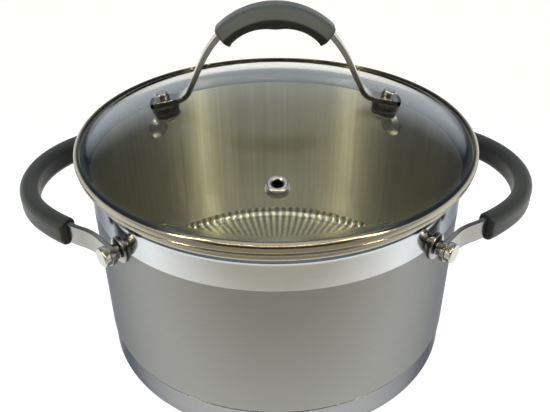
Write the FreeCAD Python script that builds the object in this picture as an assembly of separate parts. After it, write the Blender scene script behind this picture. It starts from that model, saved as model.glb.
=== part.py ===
import FreeCAD, Part
import math
import os
from FreeCAD import Placement, Rotation, Vector

# Two-handled stainless steel saucepan with a domed glass lid.  Millimetres, +Z up.
# The origin is the centre of the base's underside.  +X runs through the side handles.

# ---- shared ----
hole_clearance = 0.1        # radial, for every rivet, screw and eyelet
seat_gap = 0.1              # between a flat seat and a curved wall or the glass
edge_round = 0.3            # broken edge of a turned or stamped piece
drill_extra = 5.0           # how far a drill runs past what it cuts
close = 1e-4                # points and lengths that differ by less are the same

# ---- pot ----
body_radius = 117.7         # outside of the straight wall
wall = 1.0                  # drawn steel sheet
rim_height = 142.8          # top of the pot's lip, where the lid rests
floor_corner = 8.0          # outside radius between floor and wall
flare_drop = 11.3           # from the rim down to where the wall starts to open out for the lid
flare_height = 5.5          # rise of the flare
flare_step = 4.0            # how far the flare moves the wall outwards
flare_bend = 4.0            # bend radius at the foot and the head of the flare
lip_thickness = 2.1         # rolled lip
lip_round = 1.0             # rounds of the lip's outer edge
lip_reach = 2.5             # how far the lip stands out from the flared wall
draw_in_height = 15.0       # above the seam the inside narrows over this height, so no ledge catches food
draw_in_bend = 40.0         # bend radius at both ends of that narrowing

# ---- heat-spreading base ----
cap_sheet = 0.6             # steel cap under and around the bottom
cap_height = 20.5           # top edge of the cap, a visible seam
cap_inset = 0.5             # the cap lies this far inside the wall above it
cap_corner = 3.5            # outside radius between the cap's floor and skirt
cap_edge_round = 0.27       # outer round of the cap's top edge
core_thickness = 4.8        # aluminium plate
core_edge = 1.5             # rounded lower edge of the plate
seam_gap = 0.1              # between cap and wall, and above the cap's edge

# ---- side handles ----
handle_drop = 30.8          # from the rim down to the bars' centre line and the rivets
rivet_angle = 41.0          # each rivet's angle from the X axis, seen from above
bar_thick = 3.0
bar_tall = 13.0
standoff = 5.5              # from the wall to the bar
lead_length = 11.0          # straight stretch from the rivet towards the grip
lead_bend = 35.0            # radius where the bar turns away from the wall
lead_turn = 22.0            # how far it turns there, degrees
shoulder_bend = 116.0       # gentle bow under the ends of the grip
shoulder_turn = 18.0        # degrees
grip_cover = 12.3           # how much of the shoulder's turn the grip covers, degrees
grip_thick = 11.6           # silicone sleeve, across the bow
grip_tall = 16.8            # silicone sleeve, up and down
grip_corner = 4.8
grip_end_round = 1.6
sleeve_gap = 0.1            # between a bar and its sleeve

# ---- handle rivets and spacers ----
shank_radius = 3.0
outer_head_radius = 5.8
outer_head_height = 4.0
outer_head_round = 1.0
inner_head_radius = 9.0
inner_head_height = 3.2
inner_crown_radius = 4.95   # where the inner head's flat top starts to slope
inner_crown_round = 2.0
inner_rim_height = 1.1      # upright rim of the inner head, against the wall
inner_rim_round = 1.2
spacer_flange_radius = 8.0
spacer_flange_height = 2.6
spacer_neck_radius = 4.6
spacer_rim_height = 1.3     # upright rim of the flange
spacer_rim_round = 0.9
spacer_neck_round = 0.6

# ---- lid ----
rim_band_width = 3.3        # top leg of the steel band, seen from above
rim_band_overhang = 0.6     # band beyond the pot's lip
rim_band_sheet = 0.7
rim_band_corner = 1.6       # rounded top edge
rim_band_lower_corner = 0.7
rim_band_edge_round = 0.2   # at the two free edges and the inner corners
glass_thickness = 3.6
glass_gap = 0.25            # running gap between the glass and the band
glass_flat = 6.0            # flat ring at the edge of the glass
dome_rise = 21.6
dome_blend = 9.0            # radius where the dome meets the flat ring

# ---- lid handle ----
screw_reach = 67.6          # from the lid's centre to each screw, on the glass
foot_end = 8.2              # bar beyond the screw
foot_lead = 9.0             # bar from the screw to its first bend
foot_bend = 11.0
foot_corner = 2.5
riser_angle = 64.0          # the riser's slope, degrees
riser_length = 20.0
crown_bend = 62.0           # outer part of the crown
crown_angle = 45.8          # slope where the crown's middle arc starts, degrees
lid_bar_thick = 3.2
lid_bar_wide = 10.8
lid_grip_thick = 12.2
lid_grip_wide = 22.6
lid_grip_corner = 5.2
lid_grip_drop = 1.6         # the sleeve is thicker under the bar than over it

# ---- screws and seals of the lid handle ----
screw_radius = 2.5
screw_head_radius = 4.3
screw_head_height = 4.4
screw_head_round = 0.9
screw_tip_round = 0.5
seal_radius = 8.6
upper_seal_height = 4.0
upper_seal_round = 0.8
lower_seal_height = 1.6
lower_seal_radius = 7.6
lower_seal_round = 0.4
washer_radius = 8.0
washer_height = 1.0
nut_radius = 4.6            # over the corners of the hexagon
nut_height = 2.2
nut_dome = 1.4
nut_dome_inset = 0.4        # the dome is this much smaller than the flats
nut_dome_round = 1.2
glass_hole_clearance = 1.0  # radial, around a screw, so that steel never touches the glass

# ---- steam vent ----
vent_reach = 85.0           # from the lid's centre, on the glass
vent_bore_radius = 3.0
vent_tube_wall = 0.9
vent_flange_radius = 6.0
vent_flange_height = 1.5
vent_flange_round = 1.1
vent_mouth_round = 1.0
vent_ring_radius = 6.6
vent_ring_height = 1.2
vent_ring_round = 0.4
vent_lip_height = 0.8       # turned-over edge under the ring
vent_lip_reach = 1.2


def rounded_wire(corners):
    """Closed outline in the XZ plane from corners (x, z, radius); radius 0 is a sharp corner."""
    edges = []
    count = len(corners)
    joints = []
    for i, (x, z, radius) in enumerate(corners):
        here = Vector(x, 0, z)
        if radius == 0:
            joints.append((here, here))
            continue
        before = Vector(corners[i - 1][0], 0, corners[i - 1][1])
        after = Vector(corners[(i + 1) % count][0], 0, corners[(i + 1) % count][1])
        back = (before - here).normalize()
        ahead = (after - here).normalize()
        half = back.getAngle(ahead) / 2
        cut = radius / math.tan(half)
        start = here + back * cut
        end = here + ahead * cut
        bisector = (back + ahead).normalize()
        middle = here + bisector * (radius / math.sin(half) - radius)
        joints.append((start, end))
        edges.append(Part.Arc(start, middle, end).toShape())
    for i in range(count):
        leave = joints[i][1]
        reach = joints[(i + 1) % count][0]
        if leave.distanceToPoint(reach) > close:
            edges.append(Part.makeLine(leave, reach))
    return Part.Wire(Part.__sortEdges__(edges))


def turned(corners):
    """A body of revolution about Z."""
    face = Part.Face(rounded_wire(corners))
    return face.revolve(Vector(0, 0, 0), Vector(0, 0, 1), 360)


def cylinder(radius, low, high):
    return Part.makeCylinder(radius, high - low, Vector(0, 0, low))


def section(thick, tall, corner=0.0):
    """Bar section in the YZ plane, centred on the origin; the bar runs along +X."""
    wire = rounded_wire([
        (-thick / 2, -tall / 2, corner),
        (thick / 2, -tall / 2, corner),
        (thick / 2, tall / 2, corner),
        (-thick / 2, tall / 2, corner),
    ])
    face = Part.Face(wire)
    face.rotate(Vector(0, 0, 0), Vector(0, 0, 1), 90)
    return face


class Run:
    """Where a bent bar's centre line has got to, in the XY plane."""

    def __init__(self, point, heading):
        self.point = point
        self.heading = heading

    def ahead(self):
        angle = math.radians(self.heading)
        return Vector(math.cos(angle), math.sin(angle), 0)

    def left(self):
        angle = math.radians(self.heading)
        return Vector(-math.sin(angle), math.cos(angle), 0)

    def step(self, bend):
        """Move along (length,) or (radius, turn); a positive turn is to the left."""
        if len(bend) == 1:
            self.point = self.point + self.ahead() * bend[0]
            return
        radius, turn = bend
        side = math.copysign(1, turn)
        centre = self.point + self.left() * radius * side
        self.heading += turn
        self.point = centre - self.left() * radius * side


def bent_bar(profile, start, bends):
    """Sweep a section along straight and curved stretches that follow each other smoothly."""
    run = Run(start.point, start.heading)
    pieces = []
    for bend in bends:
        face = profile.copy()
        face.rotate(Vector(0, 0, 0), Vector(0, 0, 1), run.heading)
        face.translate(run.point)
        if len(bend) == 1:
            pieces.append(face.extrude(run.ahead() * bend[0]))
        else:
            radius, turn = bend
            side = math.copysign(1, turn)
            centre = run.point + run.left() * radius * side
            pieces.append(face.revolve(centre, Vector(0, 0, side), abs(turn)))
        run.step(bend)
    bar = pieces[0]
    if len(pieces) > 1:
        bar = bar.fuse(pieces[1:])
    return bar.removeSplitter(), run


def round_ends(bar, ends, radius):
    """Round the outline of a bar's end faces; ends are Runs at those faces."""
    edges = []
    for edge in bar.Edges:
        for end in ends:
            flat = [abs((v.Point - end.point).dot(end.ahead())) < close for v in edge.Vertexes]
            middle = edge.valueAt((edge.FirstParameter + edge.LastParameter) / 2)
            if all(flat) and abs((middle - end.point).dot(end.ahead())) < close:
                if middle.distanceToPoint(end.point) < lid_grip_wide:
                    edges.append(edge)
    return bar.makeFillet(radius, edges)


def save(name, shape):
    solids = shape.Solids
    if not solids or not all(s.isValid() for s in solids):
        raise ValueError("bad solid: " + name)
    if len(solids) == 1:
        shape = solids[0]
    shape.exportStep("parts/" + name + ".step")
    print(name, len(solids), round(shape.Volume, 1))


# ---- values that follow from the sizes above ----
flare_start = rim_height - flare_drop
handle_height = rim_height - handle_drop
cap_radius = body_radius - cap_inset
lower_radius = cap_radius - cap_sheet - seam_gap
shell_floor = cap_sheet + core_thickness
inner_radius = body_radius - wall
flared_radius = body_radius + flare_step
rim_radius = flared_radius + lip_reach
band_radius = rim_radius + rim_band_overhang
bar_inner_face = body_radius + standoff
bar_line = bar_inner_face + bar_thick / 2
bar_outer_face = bar_inner_face + bar_thick
shank_hole = shank_radius + hole_clearance

band_bottom = rim_height
glass_bottom = band_bottom + rim_band_sheet + glass_gap
glass_top = glass_bottom + glass_thickness
band_top = glass_top + glass_gap + rim_band_sheet
glass_radius = band_radius - rim_band_sheet - glass_gap
dome_edge = glass_radius - glass_flat
dome_radius = (dome_edge ** 2 + dome_rise ** 2) / (2 * dome_rise)
dome_centre = glass_top + dome_rise - dome_radius


# ---- pot ----
def make_pot_shell():
    step_low = cap_height + seam_gap
    step_high = step_low + (body_radius - lower_radius)
    head = flare_start + flare_height
    shell = turned([
        (0, shell_floor, 0),
        (lower_radius, shell_floor, floor_corner),
        (lower_radius, step_low, 0),
        (body_radius, step_low, edge_round),
        (body_radius, flare_start, flare_bend),
        (flared_radius, head, flare_bend - wall),
        (flared_radius, rim_height - lip_thickness, 0),
        (rim_radius, rim_height - lip_thickness, lip_round),
        (rim_radius, rim_height, lip_round),
        (flared_radius - wall, rim_height, lip_thickness / 2),
        (flared_radius - wall, head, flare_bend),
        (inner_radius, flare_start, flare_bend - wall),
        (inner_radius, step_high + draw_in_height, draw_in_bend),
        (lower_radius - wall, step_low, draw_in_bend),
        (lower_radius - wall, shell_floor + wall, floor_corner - wall),
        (0, shell_floor + wall, 0),
    ])
    drill = cylinder(shank_hole, inner_radius - drill_extra, body_radius + drill_extra)
    for angle in rivet_angles():
        shell = shell.cut(on_wall(drill, angle))
    return shell


def make_base_core():
    flat = lower_radius - floor_corner
    return turned([
        (0, cap_sheet, 0),
        (flat, cap_sheet, core_edge),
        (flat, shell_floor, 0),
        (0, shell_floor, 0),
    ])


def make_base_cap():
    return turned([
        (0, 0, 0),
        (cap_radius, 0, cap_corner),
        (cap_radius, cap_height, cap_edge_round),
        (cap_radius - cap_sheet, cap_height, 0),
        (cap_radius - cap_sheet, cap_sheet, cap_corner - cap_sheet),
        (0, cap_sheet, 0),
    ])


# ---- side handles ----
def rivet_angles():
    return [rivet_angle, 180 - rivet_angle, 180 + rivet_angle, -rivet_angle]


def on_wall(shape, angle):
    """Lay a shape built along +Z onto a radius of the pot at the handles' height."""
    laid = shape.copy()
    laid.rotate(Vector(0, 0, 0), Vector(0, 1, 0), 90)
    laid.rotate(Vector(0, 0, 0), Vector(0, 0, 1), angle)
    laid.translate(Vector(0, 0, handle_height))
    return laid


def side_handle_path():
    """Bends of the right handle's bar, from its front rivet to its back rivet."""
    start = Run(Vector(0, 0, 0), 0)
    angle = math.radians(-rivet_angle)
    start.point = Vector(bar_line * math.cos(angle), bar_line * math.sin(angle), handle_height)
    start.heading = 90 - rivet_angle
    lead = [(lead_length,), (lead_bend, -lead_turn), (shoulder_bend, shoulder_turn)]
    probe = Run(start.point, start.heading)
    for bend in lead:
        probe.step(bend)
    bow = 90 - probe.heading
    bow_radius = -probe.point.y / math.sin(math.radians(bow))
    bends = lead + [(bow_radius, 2 * bow)] + lead[::-1]
    return start, bends, bow_radius, bow


def make_side_bar():
    start, bends, _, _ = side_handle_path()
    bar, _ = bent_bar(section(bar_thick, bar_tall), start, bends)
    for angle in (rivet_angle, -rivet_angle):
        bar = bar.fuse(on_wall(cylinder(bar_tall / 2, bar_inner_face, bar_outer_face), angle))
    bar = bar.removeSplitter()
    drill = cylinder(shank_hole, bar_inner_face - drill_extra, bar_outer_face + drill_extra)
    for angle in (rivet_angle, -rivet_angle):
        bar = bar.cut(on_wall(drill, angle))
    return bar


def make_side_grip():
    start, bends, bow_radius, bow = side_handle_path()
    covered = [(shoulder_bend, grip_cover), (bow_radius, 2 * bow), (shoulder_bend, grip_cover)]
    begin = Run(start.point, start.heading)
    for bend in bends[:2]:
        begin.step(bend)
    begin.step((shoulder_bend, shoulder_turn - grip_cover))
    sleeve, finish = bent_bar(section(grip_thick, grip_tall, grip_corner), begin, covered)
    sleeve = round_ends(sleeve, [begin, finish], grip_end_round)
    passage = section(bar_thick + 2 * sleeve_gap, bar_tall + 2 * sleeve_gap)
    tunnel, _ = bent_bar(passage, start, bends)
    return sleeve.cut(tunnel)


def make_rivet():
    """Built along +Z: inner domed head, shank, outer flat head."""
    seat = math.sqrt(inner_radius ** 2 - inner_head_radius ** 2) - seat_gap
    top = bar_outer_face + outer_head_height
    return turned([
        (0, seat - inner_head_height, 0),
        (inner_crown_radius, seat - inner_head_height, inner_crown_round),
        (inner_head_radius, seat - inner_rim_height, inner_rim_round),
        (inner_head_radius, seat, 0),
        (shank_radius, seat, 0),
        (shank_radius, bar_outer_face, 0),
        (outer_head_radius, bar_outer_face, edge_round),
        (outer_head_radius, top, outer_head_round),
        (0, top, 0),
    ])


def make_spacer():
    """Built along +Z: a flange against the wall and a neck that carries the bar."""
    base = body_radius + seat_gap / 2
    return turned([
        (shank_hole, base, 0),
        (spacer_flange_radius, base, edge_round),
        (spacer_flange_radius, base + spacer_rim_height, spacer_rim_round),
        (spacer_neck_radius, base + spacer_flange_height, spacer_neck_round),
        (spacer_neck_radius, bar_inner_face, 0),
        (shank_hole, bar_inner_face, 0),
    ])


# ---- lid ----
def on_dome(shape, reach, angle):
    """Stand a shape built along +Z on the dome, square to the glass."""
    tilt = math.degrees(math.asin(reach / dome_radius))
    height = dome_centre + math.sqrt(dome_radius ** 2 - reach ** 2)
    stood = shape.copy()
    stood.rotate(Vector(0, 0, 0), Vector(0, 1, 0), tilt)
    stood.translate(Vector(reach, 0, height))
    stood.rotate(Vector(0, 0, 0), Vector(0, 0, 1), angle)
    return stood


def make_rim_band():
    inner = band_radius - rim_band_width
    wall_inner = band_radius - rim_band_sheet
    return turned([
        (inner, band_bottom, 0),
        (band_radius, band_bottom, rim_band_lower_corner),
        (band_radius, band_top, rim_band_corner),
        (inner, band_top, rim_band_edge_round),
        (inner, band_top - rim_band_sheet, rim_band_edge_round),
        (wall_inner, band_top - rim_band_sheet, rim_band_corner - rim_band_sheet),
        (wall_inner, band_bottom + rim_band_sheet, rim_band_edge_round),
        (inner, band_bottom + rim_band_sheet, rim_band_edge_round),
    ])


def make_glass():
    top = Vector(0, 0, dome_centre + dome_radius)
    bottom = top - Vector(0, 0, glass_thickness)
    inner_dome = dome_radius - glass_thickness
    half = math.asin(dome_edge / dome_radius) / 2
    inner_edge = math.sqrt(inner_dome ** 2 - (glass_bottom - dome_centre) ** 2)
    inner_half = math.asin(inner_edge / inner_dome) / 2
    centre = Vector(0, 0, dome_centre)
    outer_mid = centre + Vector(math.sin(half), 0, math.cos(half)) * dome_radius
    inner_mid = centre + Vector(math.sin(inner_half), 0, math.cos(inner_half)) * inner_dome
    outer_end = Vector(dome_edge, 0, glass_top)
    inner_end = Vector(inner_edge, 0, glass_bottom)
    edge_top = Vector(glass_radius, 0, glass_top)
    edge_bottom = Vector(glass_radius, 0, glass_bottom)
    outline = Part.Wire([
        Part.Arc(top, outer_mid, outer_end).toShape(),
        Part.makeLine(outer_end, edge_top),
        Part.makeLine(edge_top, edge_bottom),
        Part.makeLine(edge_bottom, inner_end),
        Part.Arc(inner_end, inner_mid, bottom).toShape(),
        Part.makeLine(bottom, top),
    ])
    glass = Part.Face(outline).revolve(Vector(0, 0, 0), Vector(0, 0, 1), 360)
    for point, radius in ((outer_end, dome_blend), (inner_end, dome_blend + glass_thickness),
                          (edge_top, rim_band_corner), (edge_bottom, rim_band_lower_corner)):
        rings = [e for e in glass.Edges if e.Closed and abs(e.BoundBox.XMax - point.x) < close
                 and abs(e.BoundBox.ZMax - point.z) < close]
        glass = glass.makeFillet(radius, rings)
    through = glass_thickness + drill_extra
    screw_hole = cylinder(screw_radius + glass_hole_clearance, -through, through)
    vent_hole = cylinder(vent_tube_radius() + 2 * hole_clearance, -through, through)
    for hole in (on_dome(screw_hole, screw_reach, 0), on_dome(screw_hole, screw_reach, 180),
                 on_dome(vent_hole, vent_reach, -90)):
        glass = glass.cut(hole)
    return glass


def vent_tube_radius():
    return vent_bore_radius + vent_tube_wall


def make_vent_eyelet():
    ring_low = -glass_thickness - 2 * seat_gap - vent_ring_height
    tube = vent_tube_radius()
    lip = tube + vent_lip_reach
    return turned([
        (vent_bore_radius, ring_low - vent_lip_height, edge_round),
        (lip, ring_low - vent_lip_height, edge_round),
        (lip, ring_low, 0),
        (tube, ring_low, 0),
        (tube, seat_gap, 0),
        (vent_flange_radius, seat_gap, edge_round),
        (vent_flange_radius, seat_gap + vent_flange_height, vent_flange_round),
        (vent_bore_radius, seat_gap + vent_flange_height, vent_mouth_round),
    ])


def make_vent_ring():
    high = -glass_thickness - 2 * seat_gap
    return turned([
        (vent_tube_radius() + hole_clearance, high - vent_ring_height, 0),
        (vent_ring_radius, high - vent_ring_height, vent_ring_round),
        (vent_ring_radius, high, 0),
        (vent_tube_radius() + hole_clearance, high, 0),
    ])


# ---- lid handle, built in the XY plane and stood up into XZ ----
def stood_up(shape):
    upright = shape.copy()
    upright.rotate(Vector(0, 0, 0), Vector(1, 0, 0), 90)
    return upright


def lid_handle_path():
    """Bends of the lid handle's bar from its left end to its right end, as X and height."""
    tilt = math.degrees(math.asin(screw_reach / dome_radius))
    on_glass = dome_centre + math.sqrt(dome_radius ** 2 - screw_reach ** 2)
    lift = seat_gap + upper_seal_height + lid_bar_thick / 2
    out = math.radians(tilt)
    screw = Vector(-screw_reach - lift * math.sin(out), on_glass + lift * math.cos(out), 0)
    start = Run(screw, tilt)
    start.point = screw - start.ahead() * foot_end
    half = [
        (foot_end + foot_lead,),
        (foot_bend, riser_angle - tilt),
        (riser_length,),
        (crown_bend, crown_angle - riser_angle),
    ]
    probe = Run(start.point, start.heading)
    for bend in half:
        probe.step(bend)
    crown_radius = -probe.point.x / math.sin(math.radians(crown_angle))
    middle = (crown_radius, -2 * crown_angle)
    return start, half + [middle] + half[::-1], probe, middle


def make_lid_bar():
    start, bends, _, _ = lid_handle_path()
    bar, finish = bent_bar(section(lid_bar_thick, lid_bar_wide), start, bends)
    corners = []
    for edge in bar.Edges:
        middle = edge.valueAt((edge.FirstParameter + edge.LastParameter) / 2)
        for end in (start, finish):
            near = abs((middle - end.point).dot(end.ahead())) < close
            if near and abs(edge.Length - lid_bar_thick) < close:
                if middle.distanceToPoint(end.point) < lid_bar_wide:
                    corners.append(edge)
    bar = stood_up(bar.makeFillet(foot_corner, corners))
    reach = upper_seal_height + 2 * lid_bar_thick
    hole = cylinder(screw_radius + hole_clearance, 0, reach)
    for angle in (0, 180):
        bar = bar.cut(on_dome(hole, screw_reach, angle))
    return bar


def make_lid_grip():
    start, bends, begin, middle = lid_handle_path()
    profile = section(lid_grip_thick, lid_grip_wide, lid_grip_corner)
    profile.translate(Vector(0, -lid_grip_drop, 0))
    sleeve, finish = bent_bar(profile, begin, [middle])
    sleeve = round_ends(sleeve, [begin, finish], grip_end_round)
    passage = section(lid_bar_thick + 2 * sleeve_gap, lid_bar_wide + 2 * sleeve_gap)
    tunnel, _ = bent_bar(passage, start, bends)
    return stood_up(sleeve.cut(tunnel))


def make_screw():
    """Cap screw through the foot, the seals and the glass into the dome nut."""
    foot_top = seat_gap + upper_seal_height + lid_bar_thick
    tip = nut_top() - nut_height
    return turned([
        (0, tip, 0),
        (screw_radius, tip, screw_tip_round),
        (screw_radius, foot_top, 0),
        (screw_head_radius, foot_top, edge_round),
        (screw_head_radius, foot_top + screw_head_height, screw_head_round),
        (0, foot_top + screw_head_height, 0),
    ])


def lower_seat():
    return -glass_thickness - 2 * seat_gap


def nut_top():
    return lower_seat() - lower_seal_height - washer_height


def ring(outer, inner, low, high, edge):
    return turned([(inner, low, 0), (outer, low, edge), (outer, high, edge), (inner, high, 0)])


def make_upper_seal():
    bore = screw_radius + hole_clearance
    return ring(seal_radius, bore, seat_gap, seat_gap + upper_seal_height, upper_seal_round)


def make_lower_seal():
    bore = screw_radius + hole_clearance
    low = lower_seat() - lower_seal_height
    return ring(lower_seal_radius, bore, low, lower_seat(), lower_seal_round)


def make_washer():
    bore = screw_radius + hole_clearance
    return ring(washer_radius, bore, nut_top(), nut_top() + washer_height, edge_round)


def make_cap_nut():
    """Hexagon with a dome over the screw's end."""
    points = [Vector(nut_radius * math.cos(math.radians(60 * i)),
                     nut_radius * math.sin(math.radians(60 * i)), nut_top()) for i in range(7)]
    hexagon = Part.Face(Part.makePolygon(points)).extrude(Vector(0, 0, -nut_height))
    across = nut_radius * math.cos(math.radians(30)) - nut_dome_inset
    low = nut_top() - nut_height - nut_dome
    dome = turned([
        (0, low, 0),
        (across, low, nut_dome_round),
        (across, nut_top() - nut_height, 0),
        (0, nut_top() - nut_height, 0),
    ])
    bore = cylinder(screw_radius, nut_top() - nut_height, nut_top() + drill_extra)
    return hexagon.fuse(dome).removeSplitter().cut(bore)


def main():
    os.makedirs("parts", exist_ok=True)
    save("pot_shell", make_pot_shell())
    save("base_core", make_base_core())
    save("base_cap", make_base_cap())

    bar = make_side_bar()
    grip = make_side_grip()
    for side, turn in (("right", 0), ("left", 180)):
        for name, shape in (("handle_bar", bar), ("handle_grip", grip)):
            placed = shape.copy()
            placed.rotate(Vector(0, 0, 0), Vector(0, 0, 1), turn)
            save(side + "_" + name, placed)
    corners = ("back_right", "back_left", "front_left", "front_right")
    rivet = make_rivet()
    spacer = make_spacer()
    for corner, angle in zip(corners, rivet_angles()):
        save(corner + "_rivet", on_wall(rivet, angle))
        save(corner + "_spacer", on_wall(spacer, angle))

    save("lid_rim_band", make_rim_band())
    save("lid_glass", make_glass())
    save("vent_eyelet", on_dome(make_vent_eyelet(), vent_reach, -90))
    save("vent_ring", on_dome(make_vent_ring(), vent_reach, -90))
    save("lid_handle_bar", make_lid_bar())
    save("lid_handle_grip", make_lid_grip())
    fittings = {
        "handle_screw": make_screw(),
        "upper_seal": make_upper_seal(),
        "lower_seal": make_lower_seal(),
        "clamp_washer": make_washer(),
        "cap_nut": make_cap_nut(),
    }
    for side, angle in (("right", 0), ("left", 180)):
        for name, shape in fittings.items():
            save("lid_" + side + "_" + name, on_dome(shape, screw_reach, angle))
    print("band top", round(band_top, 2), "dome radius", round(dome_radius, 1))


main()
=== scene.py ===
"""Two-handled stainless steel saucepan with a domed glass lid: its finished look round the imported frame.

Sections are written in millimetres and become metres in the mesh. Places and overall sizes come from the
frame; the sizes below are the details that a box doesn't give.
"""

import math

import bmesh
import bpy
from mathutils import Matrix, Vector


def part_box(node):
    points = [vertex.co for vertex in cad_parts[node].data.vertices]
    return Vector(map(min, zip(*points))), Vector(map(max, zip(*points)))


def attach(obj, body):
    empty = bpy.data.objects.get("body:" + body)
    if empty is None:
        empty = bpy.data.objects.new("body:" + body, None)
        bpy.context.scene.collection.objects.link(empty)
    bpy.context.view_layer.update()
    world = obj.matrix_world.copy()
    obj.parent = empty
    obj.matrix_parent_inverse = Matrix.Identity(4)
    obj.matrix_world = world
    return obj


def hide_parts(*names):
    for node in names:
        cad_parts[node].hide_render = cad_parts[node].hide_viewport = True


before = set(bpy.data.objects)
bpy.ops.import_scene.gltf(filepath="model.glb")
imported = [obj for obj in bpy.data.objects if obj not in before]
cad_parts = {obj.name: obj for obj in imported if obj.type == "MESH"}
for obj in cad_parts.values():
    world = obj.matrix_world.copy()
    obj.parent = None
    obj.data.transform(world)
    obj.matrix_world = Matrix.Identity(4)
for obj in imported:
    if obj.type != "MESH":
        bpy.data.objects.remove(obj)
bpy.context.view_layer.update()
MM = 0.001


def box_mm(node):
    low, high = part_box(node)
    return low / MM, high / MM


# ---- sizes from the frame ----
shell_low, shell_high = box_mm("pot_shell")
cap_high = box_mm("base_cap")[1]
band_low, band_high = box_mm("lid_rim_band")
glass_low, glass_high = box_mm("lid_glass")
rim_radius, rim_height, shell_floor = shell_high.x, shell_high.z, shell_low.z
cap_radius, cap_height = cap_high.x, cap_high.z
band_radius, band_bottom, band_top = band_high.x, band_low.z, band_high.z
glass_radius, glass_bottom, glass_apex = glass_high.x, glass_low.z, glass_high.z

# ---- pot ----
wall = 1.0
lip_thickness = 2.1
lip_round = 1.0
lip_reach = 2.5
flare_step = 4.0
flare_drop = 11.3
flare_height = 5.5
flare_bend = 4.0
floor_corner = 8.0
cap_sheet = 0.6
cap_corner = 3.5
seam_gap = 0.1
groove = 0.9                # the wall's lower edge is rolled up this far above the cap; the faces in this groove are painted near black as shade, which shows as a dark line
draw_in_height = 15.0       # how far above the bottom step the wall starts to draw in, inside
draw_in_bend = 40.0
belt_drop = 28.8            # from the rim down to where the polish stops and the brushing starts
edge_round = 0.3            # broken edge of a turned or stamped piece
lip_inside = 0.3            # the lip's finish turns this far down its inner edge
cap_edge_round = 0.27
flared_radius = rim_radius - lip_reach
body_radius = flared_radius - flare_step
inner_radius = body_radius - wall
lower_radius = cap_radius - cap_sheet - seam_gap
flare_start = rim_height - flare_drop
flare_head = flare_start + flare_height
belt_low = rim_height - belt_drop

# ---- side handles ----
handle_drop = 30.8
handle_height = rim_height - handle_drop
rivet_angle = 41.0
bar_thick = 3.0
bar_tall = 13.0
bar_edge = 0.45
standoff = 5.5
side_lead = [(11.0,), (35.0, -22.0), (116.0, 18.0)]
grip_cover = 12.3
grip_thick = 11.6
grip_tall = 16.8
grip_corner = 4.8
grip_end_round = 1.6
sleeve_gap = 0.1
shank_radius = 3.0
hole_clearance = 0.1
outer_head_radius = 5.8
outer_head_height = 4.0
outer_head_round = 1.0
inner_head_radius = 9.0
inner_head_height = 3.2
inner_crown_radius = 4.95
inner_crown_round = 2.0
inner_rim_height = 1.1
inner_rim_round = 1.2
spacer_flange_radius = 8.0
spacer_flange_height = 2.6
spacer_rim_height = 1.3
spacer_rim_round = 0.9
spacer_neck_radius = 4.6
spacer_neck_round = 0.6
seat_gap = 0.1
bar_inner_face = body_radius + standoff
bar_outer_face = bar_inner_face + bar_thick
bar_line = bar_inner_face + bar_thick / 2

# ---- lid ----
band_width = 3.3
band_sheet = 0.7
band_corner = 1.6
band_crown = 3.0            # the hoop's outer edge is drawn over in a wide round
band_lower_corner = 1.2
band_edge = 0.2
glass_thickness = 3.6
glass_drill_over = 4.0      # how far a drill stands past the glass on each side
glass_flat = 6.0
dome_blend = 9.0
glass_top = glass_bottom + glass_thickness
dome_edge = glass_radius - glass_flat
dome_rise = glass_apex - glass_top
dome_radius = (dome_edge ** 2 + dome_rise ** 2) / (2 * dome_rise)
dome_centre = glass_apex - dome_radius

# ---- lid handle and its fittings ----
screw_reach = 67.6
foot_end = 8.2
foot_corner = 2.5
riser_angle = 64.0
crown_angle = 45.8
foot_lead = 9.0
foot_bend = 11.0
riser_length = 20.0
crown_bend = 62.0
lid_bar_thick = 3.2
lid_bar_wide = 10.8
lid_grip_thick = 12.2
lid_grip_wide = 22.6
lid_grip_corner = 5.2
lid_grip_drop = 1.6
lid_grip_belly = 1.6        # the soft underside stands this far below the moulding's mean line
lid_grip_crown_half = 6.0
lid_grip_edge_drop = 7.2
lid_grip_edge_round = 2.2
lid_grip_low_half = 8.0
lid_grip_low_round = 3.0
grip_scallop_depth = 6.1
finger_scallop = 0.9        # depth of the two finger hollows under the lid's grip
screw_radius = 2.5
screw_tip_round = 0.5
screw_head_radius = 4.3
screw_head_height = 4.4
screw_head_round = 0.9
upper_seal_radius = 8.6
upper_seal_height = 4.0
upper_seal_round = 0.8
lower_seal_radius = 7.6
lower_seal_height = 1.6
lower_seal_round = 0.4
washer_radius = 8.0
washer_height = 1.0
nut_radius = 4.6
nut_height = 2.2
nut_dome = 1.4
nut_dome_round = 1.2
nut_chamfer = 0.4
nut_floor = 0.1
nut_across = nut_radius * math.cos(math.pi / 6) - nut_chamfer
glass_hole_radius = 3.5

# ---- steam vent ----
vent_reach = 85.0
vent_side = -90             # degrees round the lid: in front
vent_bore_radius = 3.0
vent_tube_radius = 3.9
vent_flange_radius = 6.0
vent_flange_height = 1.5
vent_flange_round = 1.1
vent_mouth_round = 1.0
vent_bore_slack = 0.1       # a face this far outside the bore still belongs to it
vent_ring_radius = 6.6
vent_ring_height = 1.2
vent_ring_round = 0.4
vent_lip_height = 0.8
vent_lip_reach = 1.2
vent_hole_radius = 4.1

# ---- draw marks on the pot's floor, bumped in and painted as bright rays that stand for reflections of the lamps; as shares of its radius where they start and where they are full ----
DRAW_MARKS_AND_PAINTED_RAYS = 120            # round the pot
MARKS_START = 0.45
MARKS_FULL = 0.95
RING_SHARE = 0.3            # the lathe's rings are this deep beside a full draw mark

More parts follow.
